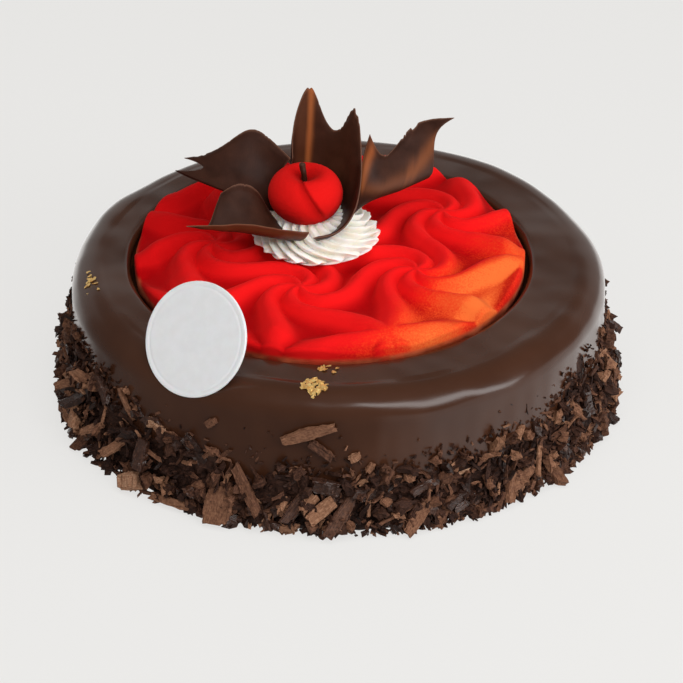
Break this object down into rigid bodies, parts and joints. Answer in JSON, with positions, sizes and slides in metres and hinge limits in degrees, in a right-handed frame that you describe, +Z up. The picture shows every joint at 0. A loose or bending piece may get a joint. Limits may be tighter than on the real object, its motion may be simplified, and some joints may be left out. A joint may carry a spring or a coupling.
{
  "type": "black forest cake",
  "caption": "Round chocolate-glazed cake with shavings round its foot, a red whorled insert, a cream rosette, chocolate petals, a cherry and a bare plaque.",
  "frame": {"origin": "middle of the cake's flat underside", "axes": "+Z up; -Y towards the front, where the camera of the picture stands; +X to the right as seen from the front"},
  "size_m": [0.2104, 0.2117, 0.1148],
  "materials": {
    "chocolate_glaze": "glossy dark chocolate glaze, with matt chocolate shavings and a few flakes of gold leaf",
    "red_velvet": "matt red velvet spray over mousse, orange towards one side",
    "cream": "soft satin whipped cream",
    "petal_chocolate": "satin dark chocolate sheet",
    "cherry_red": "matt red velvet spray",
    "plaque_white": "bare satin white chocolate disc"
  },
  "bodies": {
    "root": {"cake": "chocolate_glaze", "swirl_insert": "red_velvet", "cream_rosette": "cream", "petal_back": "petal_chocolate", "petal_left": "petal_chocolate", "petal_right": "petal_chocolate", "petal_front": "petal_chocolate", "cherry": "cherry_red", "cherry_stem": "petal_chocolate", "plaque": "plaque_white"}
  },
  "joints": []
}
